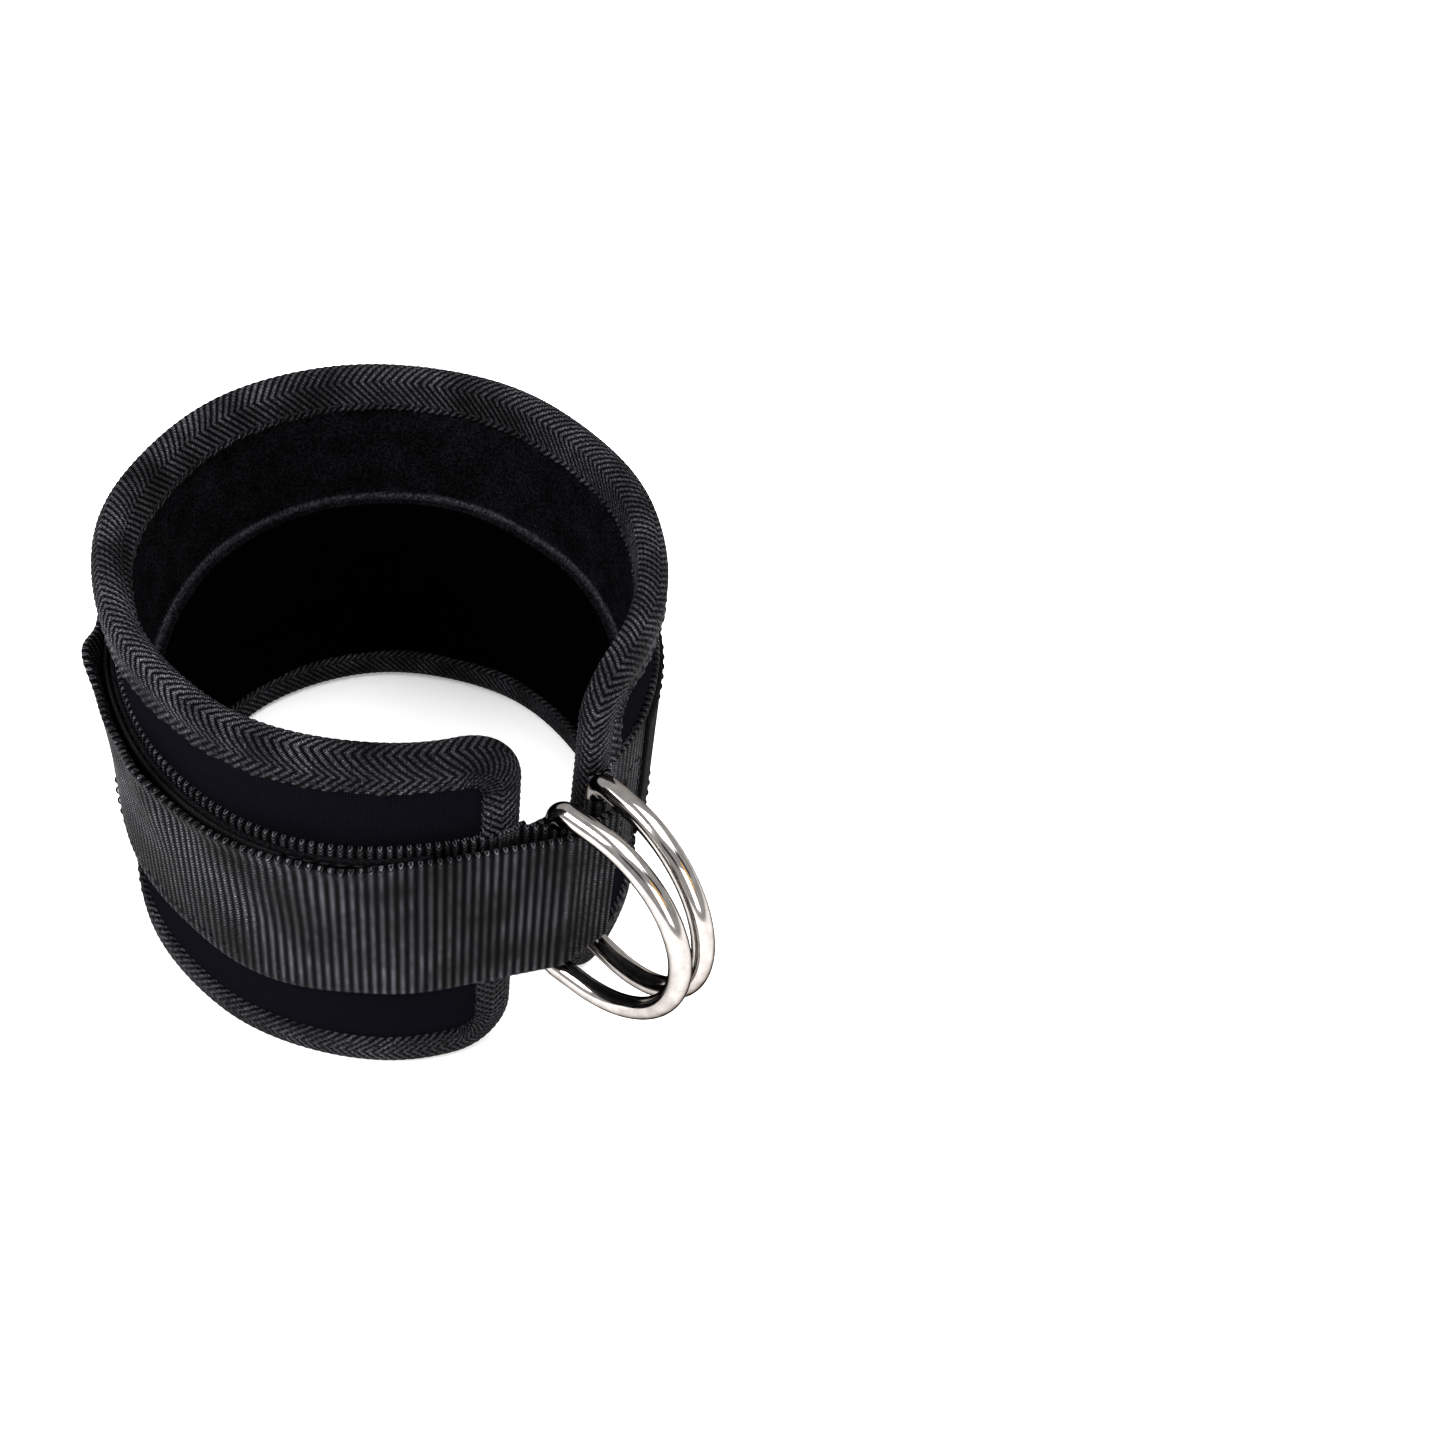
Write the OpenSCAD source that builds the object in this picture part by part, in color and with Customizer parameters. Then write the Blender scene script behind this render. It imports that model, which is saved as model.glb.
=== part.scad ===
// Padded ankle cuff with a sewn webbing strap, a folded-back strap tail and two D-rings.
// Origin: on the ankle's axis, level with the cuff's lower edge. +Z runs up the leg,
// +X points out through the gap, where the two D-rings hang.
// The near half is on the -Y side and carries the strap tail. The far half is on the +Y side.
// Offsets are measured outwards from the outer face of the cover fabric.

/* [Cuff panel] */
// Height of the cuff along the leg
cuff_h = 95; // [90:1:100]
// Half length of the cover's oval, along its long axis
oval_long = 63; // [60:0.5:66]
// Half length of the cover's oval, along its short axis
oval_short = 56.5; // [54:0.5:59]
// Turn of the oval's long axis from +X
oval_turn = -37; // [-39:0.5:-37]
// Direction in which the near end of the panel faces outwards
near_end = -9.6; // [-13:0.1:-9]
// Direction in which the far end of the panel faces outwards
far_end = 9.6; // [9.4:0.1:13]
// Radius of the panel's four corners
corner_r = 13; // [12:0.5:16]

/* [Panel layers] */
// Thickness of the outer cover fabric
cover_t = 0.8; // [0.6:0.1:1]
// Thickness of the foam core
foam_t = 3; // [2.5:0.1:4]
// Thickness of the brushed lining
lining_t = 0.8; // [0.6:0.1:1]
// Thickness of the raised inner pad
pad_t = 2.5; // [2:0.1:3]
// Height of the raised inner pad
pad_h = 30; // [28:1:50]
// Thickness of the edge binding tape
binding_t = 1; // [0.8:0.1:1.2]
// Width of the edge binding on each face
binding_w = 9; // [8:0.5:11]

/* [Strap] */
// Width of the webbing
strap_w = 40; // [38:1:40]
// Thickness of the webbing
webbing_t = 1.6; // [1.4:0.1:1.8]
// Height of the strap's centre line above the lower edge
strap_z = 51; // [46:1:53]
// Thickness of the loop tape
loop_t = 1; // [0.8:0.1:1.2]
// Thickness of the hook tape
hook_t = 0.8; // [0.6:0.1:1]
// Width of the loop tape and of the hook tape
tape_w = 36; // [32:1:36]
// Direction of the strap tail's free end
tail_tip = -150; // [-156:1:-130]

/* [D-rings] */
// Diameter of the ring wire
wire_d = 4.8; // [4:0.1:5]
// Outer width of a ring, along its straight bar
ring_w = 52; // [52:0.5:54]
// Reach of a ring from its bar's centre to its bow's centre
ring_reach = 33.4; // [31:0.1:36]
// Direction of the near ring's bar, seen from the middle of the oval's end arc
near_ring_dir = -3.9; // [-4.2:0.1:-3.9]
// Direction of the far ring's bar, seen from the middle of the oval's end arc
far_ring_dir = 7.6; // [7.4:0.1:7.9]
// Turn of the near ring from +X at rest
near_ring_turn = 6; // [4:0.5:9]
// Turn of the far ring from +X at rest
far_ring_turn = -2; // [-3:0.5:2]

/* [Hidden] */
$fn = 96;
near = -1;
far = 1;
panel_t = cover_t + foam_t + lining_t;
// Parts of different bodies stay this far apart
body_gap = 0.3;
// Radial clearance of a ring's bar in its webbing loop
bar_gap = 0.1;
// Thread stands this far out of the cloth
thread_t = 0.15;
thread_w = 0.8;
// Solids that meet end to end stay this many degrees apart on each side
hair = 0.01;
// Distance of a binding's thread from the panel's edge
thread_in = binding_w - 1.8;
pad_end_inset = 18;

// Four-centre oval: end arcs of radius end_r, side arcs of radius side_r, met at 45 degrees
centre_out = (oval_long - oval_short) / (2 - sqrt(2));
end_r = oval_long - centre_out;
side_r = end_r + centre_out * sqrt(2);

// The halves meet at the back, where an end arc meets a side arc
back_dir = oval_turn + 225;
back_slit = body_gap / 2 / end_r * 180 / PI;

// Layers of the strap, as offsets
loop_d = webbing_t;
row_d = loop_d + loop_t;
hook_d = row_d + thread_t + body_gap;
tail_d = hook_d + hook_t;
strap_z0 = strap_z - strap_w / 2;
strap_z1 = strap_z + strap_w / 2;

// Directions at which the pieces along the strap start and stop
hook_start = tail_tip + 3;
hook_end = -60;
sewn_length = 13;
// The sewn layer's flat facets stay clear of the round layer below
sewn_lift = 0.02;
tape_gap = 3;

// A ring's bar rests on the base strap, inside a webbing loop
bar_hole_r = wire_d / 2 + bar_gap;
loop_r = bar_hole_r + webbing_t;
bar_d = loop_r;
// Slope of a loop's outer layer where it comes down to the base strap
loop_slope = 38;
ring_half = (ring_w - wire_d) / 2;
ring_corner_r = 3.4;

// ---- the oval ----

function unit(a) = [cos(a), sin(a)];
function angle_of(v) = atan2(v.y, v.x);
// Arc k of the oval spans 45 degrees on each side of oval_turn + 90 k
function arc_of(a) = floor((a - oval_turn + 45) / 90);
function arc_r(k) = k % 2 == 0 ? end_r : side_r;
function arc_centre(k) = (k % 2 == 0 ? centre_out : -centre_out) * unit(oval_turn + 90 * k);
// Point that faces outwards in direction a, at offset d
function oval_point(a, d = 0) = arc_centre(arc_of(a)) + (arc_r(arc_of(a)) + d) * unit(a);
// Angle that a length along the cover takes on arc k
function angle_for(length, k) = length / arc_r(k) * 180 / PI;

// Profile [offset, height] swept along arc k from direction a0 to a1
module sweep_arc(k, a0, a1) {
    translate(arc_centre(k)) rotate(a0) rotate_extrude(angle = a1 - a0)
        translate([arc_r(k), 0]) children();
}

// Profile swept along the oval from direction a0 to a1
module sweep_oval(a0, a1) {
    for (k = [arc_of(a0 + 0.01):arc_of(a1 - 0.01)]) {
        low = oval_turn - 45 + 90 * k + hair;
        sweep_arc(k, max(a0, low), min(a1, low + 90 - 2 * hair)) children();
    }
}

module wall_profile(d0, d1, z0, z1) {
    translate([d0, z0]) square([d1 - d0, z1 - z0]);
}

// Wall between two offsets and two heights
module band(d0, d1, z0, z1, a0, a1) {
    sweep_oval(a0, a1) wall_profile(d0, d1, z0, z1);
}

// ---- halves of the panel ----

function end_of(side) = side == near ? near_end : far_end;
// Arc that holds a half's end, and the arc behind it
function end_arc(side) = arc_of(end_of(side));
function back_arc(side) = end_arc(side) + side;
// Direction where those two arcs meet
function join_of(side) = oval_turn + 90 * end_arc(side) + 45 * side;
// Direction of the half's back edge
function back_of(side) = side == near ? back_dir - 360 + back_slit : back_dir - back_slit;

// Profile swept from a half's back edge to the join
module sweep_back(side) {
    a = back_of(side);
    b = join_of(side) + side * hair;
    sweep_arc(back_arc(side), min(a, b), max(a, b)) children();
}

// Profile swept from the join, or a little before it, to just past the half's end
module sweep_end(side, over = 0) {
    a = join_of(side) + side * over;
    b = end_of(side) - side * (1 + over);
    sweep_arc(end_arc(side), min(a, b), max(a, b)) children();
}

// Outline of the panel near one end, laid flat: the end is at x = 0 and the panel at x < 0
module end_outline(inset_end, inset_z) {
    r = max(corner_r - inset_z, 3);
    reach = 90;
    translate([-reach, inset_z + r]) square([reach - inset_end, cuff_h - 2 * inset_z - 2 * r]);
    translate([-reach, inset_z]) square([reach - inset_end - r, cuff_h - 2 * inset_z]);
    for (z = [inset_z + r, cuff_h - inset_z - r]) translate([-inset_end - r, z]) circle(r);
}

// Prism that trims a layer to the outline above
module end_prism(side, inset_end, inset_z) {
    depth = 90;
    translate(oval_point(end_of(side))) rotate(end_of(side)) scale([1, -side, 1])
        translate([-depth, 0, 0]) rotate([90, 0, 90])
            linear_extrude(depth + 10) end_outline(inset_end, inset_z);
}

// The end part of a layer, with round corners
module end_part(side, d0, d1, inset_end, inset_z, over = 0) {
    intersection() {
        sweep_end(side, over) wall_profile(d0, d1, -1, cuff_h + 1);
        end_prism(side, inset_end, inset_z);
    }
}

// One half of a panel layer
module half_layer(side, d0, d1, inset_end, inset_z) {
    sweep_back(side) wall_profile(d0, d1, inset_z, cuff_h - inset_z);
    end_part(side, d0, d1, inset_end, inset_z);
}

// ---- the panel ----

module cover(side) {
    color("#26262a") half_layer(side, -cover_t, 0, binding_t, binding_t);
}

module foam(side) {
    color("#3a3a3c") half_layer(side, lining_t - panel_t, -cover_t, binding_t, binding_t);
}

module lining(side) {
    color("#131316") half_layer(side, -panel_t, lining_t - panel_t, binding_t, binding_t);
}

module pad(side) {
    color("#0c0c0e")
        half_layer(side, -panel_t - pad_t, -panel_t, pad_end_inset, (cuff_h - pad_h) / 2);
}

// Tape folded round the panel's edge, with a notch where the strap passes over the end
module binding(side) {
    d0 = -panel_t - binding_t;
    d1 = binding_t;
    color("#1c1c1e") {
        sweep_back(side) difference() {
            wall_profile(d0, d1, 0, cuff_h);
            wall_profile(d0 - 1, d1 + 1, binding_w, cuff_h - binding_w);
            wall_profile(-panel_t, 0, binding_t, cuff_h - binding_t);
        }
        difference() {
            end_part(side, d0, d1, 0, 0);
            end_part(side, d0 - 1, d1 + 1, binding_w, binding_w, 1);
            end_part(side, -panel_t, 0, binding_t, binding_t, 1);
            sweep_end(side, 1) wall_profile(0, d1 + 1, strap_z0, strap_z1);
        }
    }
}

// Thread along both edges and the end of the binding, on both faces
module binding_stitch(side) {
    k = end_arc(side);
    end_in = end_of(side) + side * angle_for(thread_in, k);
    row_in = end_in + side * angle_for(thread_w, k);
    faces = [binding_t, -panel_t - binding_t - thread_t];
    color("#0a0a0a") {
        for (d = faces, z = [thread_in, cuff_h - thread_in - thread_w]) {
            band(
                d, d + thread_t, z, z + thread_w,
                min(end_in, back_of(side)), max(end_in, back_of(side))
            );
        }
        turn_in = thread_in + 2 * thread_w;
        for (d = faces, z = [[turn_in, strap_z0], [strap_z1, cuff_h - turn_in]]) {
            band(d, d + thread_t, z[0], z[1], min(end_in, row_in), max(end_in, row_in));
        }
    }
}

// ---- the strap ----

// Strip of webbing or tape on the strap's centre line
module strip(d0, d1, w, a0, a1) {
    band(d0, d1, strap_z - w / 2, strap_z + w / 2, a0, a1);
}

// Two thread rows along a tape's edges
module edge_rows(d, w, a0, a1) {
    for (z = [strap_z - w / 2, strap_z + w / 2 - thread_w]) {
        band(d, d + thread_t, z, z + thread_w, a0, a1);
    }
}

// Webbing that stands on edge: faces is a list of [one face's point, the other face's point]
module webbing_path(faces, cap = []) {
    last = len(faces) - 1;
    translate([0, 0, strap_z0]) linear_extrude(strap_w) polygon(concat(
        [for (f = faces) f[0]], cap, [for (i = [last:-1:0]) faces[i][1]]
    ));
}

// Both faces of webbing in direction a from a point, with its inner face at radius r
function faces_at(centre, r, a) = [centre + r * unit(a), centre + (r + webbing_t) * unit(a)];
// Faces of webbing bent round a point, with its inner face at radius r
function bend(centre, r, a0, a1, steps) = [
    for (i = [0:steps]) faces_at(centre, r, a0 + (a1 - a0) * i / steps)
];
// Faces of webbing along the oval, between two offsets
function along_oval(d0, d1, a0, a1, steps) = [
    for (i = [0:steps])
        let (a = a0 + (a1 - a0) * i / steps) [oval_point(a, d0), oval_point(a, d1)]
];

// Distance along direction v from p to the circle round c, entered from outside
function run_to_circle(p, v, c, r) =
    let (w = p - c, b = w * v) -b - sqrt(b ^ 2 - w * w + r ^ 2);
// Outward direction of the line that lies on two circles and passes them on their right
function shared_tangent(c0, r0, c1, r1) = angle_of(c1 - c0) - acos((r0 - r1) / norm(c1 - c0));

near_bar = arc_centre(0) + (end_r + bar_d) * unit(near_ring_dir);
far_bar = arc_centre(0) + (end_r + bar_d) * unit(far_ring_dir);
function bar_of(side) = side == near ? near_bar : far_bar;
function bar_dir(side) = side == near ? near_ring_dir : far_ring_dir;
// Outward direction of a loop's sloping layer
function slope_dir(side) = bar_dir(side) + side * loop_slope;
function slope_start(side) = bar_of(side) + bar_hole_r * unit(slope_dir(side));
function slope_end(side) =
    let (
        k = end_arc(side),
        v = unit(slope_dir(side) + 90 * side),
        p = slope_start(side)
    ) p + run_to_circle(p, v, arc_centre(k), arc_r(k) + webbing_t) * v;
// Direction at which the sewn part of a loop starts and stops
function sewn_from(side) = angle_of(slope_end(side) - arc_centre(end_arc(side)));
function sewn_to(side) = sewn_from(side) + side * angle_for(sewn_length, end_arc(side));
function tape_from(side) = sewn_to(side) + side * angle_for(tape_gap, end_arc(side));

module base_strap(side) {
    a = end_of(side);
    b = back_of(side);
    color("#202022") strip(0, webbing_t, strap_w, min(a, b), max(a, b));
}

module loop_tape(side) {
    a = tape_from(side);
    b = back_of(side);
    color("#18181a") strip(loop_d, loop_d + loop_t, tape_w, min(a, b), max(a, b));
}

module strap_stitch(side) {
    a = tape_from(side) + side;
    b = back_of(side);
    color("#0a0a0a") edge_rows(row_d, tape_w - 2, min(a, b), max(a, b));
}

// Webbing loop round a ring's bar: the base strap runs on past the panel's end, goes round
// the bar and comes back to be sewn down on itself
module ring_loop(side) {
    start = bar_dir(side) - side * 180;
    mitre = side * angle_for(webbing_t / 4, end_arc(side));
    color("#202022") webbing_path(concat(
        along_oval(webbing_t, 0, end_of(side) - side * hair, bar_dir(side), 3),
        bend(bar_of(side), bar_hole_r, start, slope_dir(side), 24),
        [[slope_end(side), oval_point(sewn_from(side) + mitre, loop_d + webbing_t)]],
        along_oval(
            loop_d + sewn_lift, loop_d + webbing_t,
            sewn_from(side) + 2 * mitre, sewn_to(side), 6
        )
    ));
}

// Sewn box that closes a loop: two rows along it and two across it
module loop_stitch(side) {
    k = end_arc(side);
    d = loop_d + webbing_t;
    margin = angle_for(2.5, k);
    row = angle_for(thread_w, k);
    low = min(sewn_from(side), sewn_to(side)) + margin;
    high = max(sewn_from(side), sewn_to(side)) - margin;
    color("#0a0a0a") {
        edge_rows(d, strap_w - 8, low, high);
        strip(d, d + thread_t, strap_w - 10, low, low + row);
        strip(d, d + thread_t, strap_w - 10, high - row, high);
    }
}

// Path of the strap's outer layer: off the oval, over the near loop, past the far loop
crease_r = end_r + tail_d;
near_pass_r = loop_r + 0.05;
far_pass_r = loop_r + body_gap;
crease_dir = shared_tangent(arc_centre(0), crease_r, near_bar, near_pass_r);
front_dir = shared_tangent(near_bar, near_pass_r, far_bar, far_pass_r);
turn_end = front_dir + 6;
crease_slit = body_gap / crease_r * 180 / PI;

// The strap's outer layer between the crease and the front of the far ring's bar
module near_strap_turn() {
    tip = far_bar + (far_pass_r + webbing_t / 2) * unit(turn_end);
    color("#202022") webbing_path(
        concat(
            [faces_at(arc_centre(0), crease_r, crease_dir)],
            bend(near_bar, near_pass_r, crease_dir, front_dir, 6),
            bend(far_bar, far_pass_r, front_dir, turn_end, 2)
        ),
        [for (i = [1:7]) tip + webbing_t / 2 * unit(turn_end + 180 - 22.5 * i)]
    );
}

// The loose end of the strap, folded back over the near half
module strap_tail() {
    color("#202022")
        strip(tail_d, tail_d + webbing_t, strap_w, tail_tip, crease_dir - crease_slit);
}

module hook_tape() {
    color("#141416") strip(hook_d, tail_d, tape_w, hook_start, hook_end);
}

module tail_stitch() {
    color("#0a0a0a") edge_rows(tail_d + webbing_t, tape_w - 2, hook_start, hook_end);
}

// ---- the rings ----

// D-ring of round wire: its bar lies on the Z axis and its bow points along +X
module d_ring() {
    bow_x = ring_reach - ring_half;
    color("#c9c9cc") {
        translate([bow_x, 0, 0]) rotate([90, 0, 0]) rotate([0, 0, -90])
            rotate_extrude(angle = 180) translate([ring_half, 0]) circle(d = wire_d);
        for (s = [-1, 1]) scale([1, 1, s]) {
            translate([ring_corner_r, 0, ring_half]) rotate([0, 90, 0])
                cylinder(d = wire_d, h = bow_x - ring_corner_r);
            translate([ring_corner_r, 0, ring_half - ring_corner_r]) rotate([90, 0, 0])
                rotate([0, 0, 90]) rotate_extrude(angle = 90)
                    translate([ring_corner_r, 0]) circle(d = wire_d);
        }
        cylinder(d = wire_d, h = 2 * (ring_half - ring_corner_r), center = true);
    }
}

module near_ring() {
    translate([near_bar.x, near_bar.y, strap_z]) rotate(near_ring_turn) d_ring();
}

module far_ring() {
    translate([far_bar.x, far_bar.y, strap_z]) rotate(far_ring_turn) d_ring();
}

foam(near);  // near_foam
cover(near);  // near_cover
lining(near);  // near_lining
pad(near);  // near_pad
binding(near);  // near_binding
binding_stitch(near);  // near_binding_stitch
base_strap(near);  // near_base_strap
loop_tape(near);  // near_loop_tape
strap_stitch(near);  // near_strap_stitch
ring_loop(near);  // near_ring_loop
loop_stitch(near);  // near_loop_stitch
near_strap_turn();
strap_tail();
hook_tape();
tail_stitch();
near_ring();
foam(far);  // far_foam
cover(far);  // far_cover
lining(far);  // far_lining
pad(far);  // far_pad
binding(far);  // far_binding
binding_stitch(far);  // far_binding_stitch
base_strap(far);  // far_base_strap
loop_tape(far);  // far_loop_tape
strap_stitch(far);  // far_strap_stitch
ring_loop(far);  // far_ring_loop
loop_stitch(far);  // far_loop_stitch
far_ring();
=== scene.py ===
"""Padded ankle cuff with a webbing strap and two D-rings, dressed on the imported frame."""

import math

import bpy
import numpy as np
from mathutils import Matrix, Vector


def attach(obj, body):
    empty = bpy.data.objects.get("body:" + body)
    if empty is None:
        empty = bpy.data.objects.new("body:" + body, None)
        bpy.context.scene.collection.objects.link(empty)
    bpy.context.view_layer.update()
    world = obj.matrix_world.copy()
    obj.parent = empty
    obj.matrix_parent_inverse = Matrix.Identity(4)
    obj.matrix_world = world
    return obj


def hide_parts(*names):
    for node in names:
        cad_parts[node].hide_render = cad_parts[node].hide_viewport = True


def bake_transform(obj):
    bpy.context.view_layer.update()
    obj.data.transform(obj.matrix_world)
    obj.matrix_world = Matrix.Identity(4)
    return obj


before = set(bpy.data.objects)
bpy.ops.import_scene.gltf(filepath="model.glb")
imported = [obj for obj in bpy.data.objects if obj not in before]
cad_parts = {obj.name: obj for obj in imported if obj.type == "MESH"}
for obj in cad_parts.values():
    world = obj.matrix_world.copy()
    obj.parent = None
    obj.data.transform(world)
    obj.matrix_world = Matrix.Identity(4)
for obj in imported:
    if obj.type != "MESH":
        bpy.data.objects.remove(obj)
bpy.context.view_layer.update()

MM = 0.001

# Sizes repeat part.scad's, in millimetres
CUFF_H = 95.0
OVAL_LONG = 63.0
OVAL_SHORT = 56.5
OVAL_TURN = -37.0
NEAR_END = -9.6
FAR_END = 9.6
CORNER_R = 13.0
PANEL_T = 4.6
PAD_T = 2.5
PAD_H = 30.0
BINDING_T = 1.0
BINDING_W = 9.0
STRAP_W = 40.0
STRAP_Z = 51.0
WEBBING_T = 1.6
LOOP_T = 1.0
HOOK_T = 0.8
TAPE_W = 36.0
THREAD_T = 0.15
GAP = 0.3
TAIL_TIP = -150.0
WIRE_R = 2.4
RING_W = 52.0
RING_REACH = 33.4
RING_CORNER_R = 3.4
NEAR_RING_DIR = -3.9
FAR_RING_DIR = 7.6
NEAR_RING_TURN = 6.0
FAR_RING_TURN = -2.0

CENTRE_OUT = (OVAL_LONG - OVAL_SHORT) / (2 - math.sqrt(2))
END_R = OVAL_LONG - CENTRE_OUT
SIDE_R = END_R + CENTRE_OUT * math.sqrt(2)
HOOK_D = WEBBING_T + LOOP_T + THREAD_T + GAP
TAIL_D = HOOK_D + HOOK_T
BAR_HOLE_R = WIRE_R + 0.1
LOOP_R = BAR_HOLE_R + WEBBING_T
RIB = 1.8


# ---- the oval ----


def unit(a):
    """Unit vectors in directions a, in degrees."""
    t = np.radians(a)
    return np.stack([np.cos(t), np.sin(t)], -1)


def angle_of(v):
    """Direction of a 2D vector, in degrees."""
    return math.degrees(math.atan2(v[1], v[0]))


def arc_parts(a):
    """Centres and radii of the oval's arcs that face directions a."""
    k = np.floor((np.asarray(a, float) - OVAL_TURN + 45) / 90)
    on_end = np.mod(k, 2) == 0
    out = np.where(on_end, CENTRE_OUT, -CENTRE_OUT)
    centre = out[..., None] * unit(OVAL_TURN + 90 * k)
    return centre, np.where(on_end, END_R, SIDE_R)


def oval(a, d=0.0):
    """Points that face outwards in directions a, at offsets d from the cover."""
    centre, r = arc_parts(a)
    return centre + (r + d)[..., None] * unit(a)


# Lengths along the oval for a table of directions
TABLE_STEP = 0.05
TABLE_A = np.arange(-400.0, 401.0, TABLE_STEP)
TABLE_S = np.cumsum(arc_parts(TABLE_A[:-1] + TABLE_STEP / 2)[1]) * math.radians(TABLE_STEP)
TABLE_S = np.concatenate([[0.0], TABLE_S])
TABLE_S -= np.interp(0.0, TABLE_A, TABLE_S)


def length_at(a):
    """Length along the cover's outer face from direction 0 to direction a."""
    return float(np.interp(a, TABLE_A, TABLE_S))


def angle_at(s):
    """Directions at lengths s along the cover's outer face."""
    return np.interp(s, TABLE_S, TABLE_A)


# The panel runs from the far end round the back to the near end
PANEL_S0 = length_at(FAR_END - 360)
PANEL_S1 = length_at(NEAR_END)


def smooth(x):
    """Smooth step from 0 to 1 as x goes from 0 to 1."""
    x = np.clip(x, 0, 1)
    return x * x * (3 - 2 * x)


# How far the strap pulls the panel in at mid height, and how far the rims flare out
PULL_IN = 1.9
FLARE_OUT = 1.3


def cinch(a, z):
    """The strap pulls the panel in round its middle, and the rims flare out, away from the ends."""
    away = smooth((-a - 60.0) / 55.0) * smooth((a + 320.0) / 55.0)
    height = (z - STRAP_Z) / (CUFF_H - STRAP_Z)
    return away * ((PULL_IN + FLARE_OUT) * np.minimum(np.abs(height), 1.0) ** 1.6 - PULL_IN)


def wander(s, z):
    """Unevenness of the soft panel in millimetres: the strap's pull and slow waves."""
    lift = np.sin(s / 13.0 + 0.6) * np.sin(z / 21.0 + s / 31.0)
    return cinch(angle_at(s), z) + 0.28 * lift + 0.14 * np.sin(s / 6.1 + z / 17.0)


def on_panel(s, z, d):
    """3D points in millimetres on the wrapped panel."""
    xy = oval(angle_at(s), d + wander(s, z))
    return np.concatenate([xy, np.broadcast_to(z, s.shape)[..., None]], -1)


# ---- meshes ----


def new_object(name, verts, faces, uvs, material):
    """Mesh object from points in millimetres. uvs holds one pair per vertex, in millimetres."""
    mesh = bpy.data.meshes.new(name)
    mesh.from_pydata([tuple(v) for v in np.asarray(verts) * MM], [], faces)
    layer = mesh.uv_layers.new(name="UVMap")
    index = np.empty(len(mesh.loops), int)
    mesh.loops.foreach_get("vertex_index", index)
    layer.data.foreach_set("uv", np.asarray(uvs, np.float32)[index].ravel())
    mesh.materials.append(material)
    mesh.shade_smooth()
    mesh.validate()
    obj = bpy.data.objects.new(name, mesh)
    bpy.context.scene.collection.objects.link(obj)
    return obj


def sweep_mesh(name, rows, uvs, material, closed_path=False):
    """Closed tube through rows of points (n, m, 3). Each row is a loop that mirrors itself."""
    n, m = rows.shape[:2]
    faces = []
    steps = n if closed_path else n - 1
    for i in range(steps):
        a = i * m
        b = (i + 1) % n * m
        for j in range(m):
            k = (j + 1) % m
            faces.append((a + j, b + j, b + k, a + k))
    if not closed_path:
        for base, flip in ((0, False), ((n - 1) * m, True)):
            for j in range(m // 2 - 1):
                cap = (base + j, base + j + 1, base + m - 2 - j, base + m - 1 - j)
                faces.append(cap[::-1] if flip else cap)
    return new_object(name, rows.reshape(-1, 3), faces, uvs.reshape(-1, 2), material)


# Height between a ribbon's rows of points, and points round each of its edges
ROW_STEP = 1.25
EDGE_POINTS = 4


def flat_loop(half_count, edge_count):
    """Loop round a flat strip: (across 0 to 1, side 1 outer or -1 inner, roundness) per point."""
    across = np.linspace(0, 1, half_count)
    turn = np.linspace(90, -90, edge_count + 2)[1:-1]
    outer = [(t, 1.0, 0.0) for t in across]
    top = [(1.0, math.sin(math.radians(t)), math.cos(math.radians(t))) for t in turn]
    inner = [(t, -1.0, 0.0) for t in across[::-1]]
    low = [(0.0, -math.sin(math.radians(t)), -math.cos(math.radians(t))) for t in turn]
    return np.array(outer + top + inner + low)


def ribbon(name, path, normals, s, thick, width, material, rib=0.0, wave=None):
    """Webbing or tape on edge. path is its inner face's line and normals point away from it."""
    loop = flat_loop(int(width / ROW_STEP), EDGE_POINTS)
    m = len(loop)
    n = len(path)
    edge = thick * 0.5
    across, side, roundness = loop.T
    depth = thick / 2 + side * thick / 2
    z = STRAP_Z - width / 2 + edge + across * (width - 2 * edge) + roundness * edge
    depth = np.broadcast_to(depth, (n, m)).copy()
    z = np.broadcast_to(z, (n, m)).copy()
    if rib:
        ridge = (np.abs(np.sin(math.pi * s / RIB)) ** 0.6)[:, None]
        face = side * (1 - np.abs(roundness))
        depth += rib * face * (ridge - 0.75)
        z += roundness * rib * 0.3 * (ridge - 0.5)
    if wave is not None:
        dd, dz = wave(s[:, None], z)
        depth += dd
        z += dz
    xy = path[:, None, :] + normals[:, None, :] * depth[..., None]
    rows = np.concatenate([xy, z[..., None]], -1)
    uvs = np.stack([np.broadcast_to(s[:, None], (n, m)), z], -1)
    return sweep_mesh(name, rows, uvs, material)


def resample(points, step):
    """Points evenly spaced along a polyline, their left-hand normals and running lengths."""
    points = np.asarray(points, float)
    keep = np.concatenate([[True], np.linalg.norm(np.diff(points, axis=0), axis=1) > 1e-6])
    points = points[keep]
    run = np.concatenate([[0], np.cumsum(np.linalg.norm(np.diff(points, axis=0), axis=1))])
    s = np.linspace(0, run[-1], max(int(run[-1] / step), 2))
    out = np.stack([np.interp(s, run, points[:, i]) for i in (0, 1)], -1)
    tangent = np.gradient(out, s, axis=0)
    tangent /= np.linalg.norm(tangent, axis=1)[:, None]
    return out, np.stack([-tangent[:, 1], tangent[:, 0]], -1), s


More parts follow.
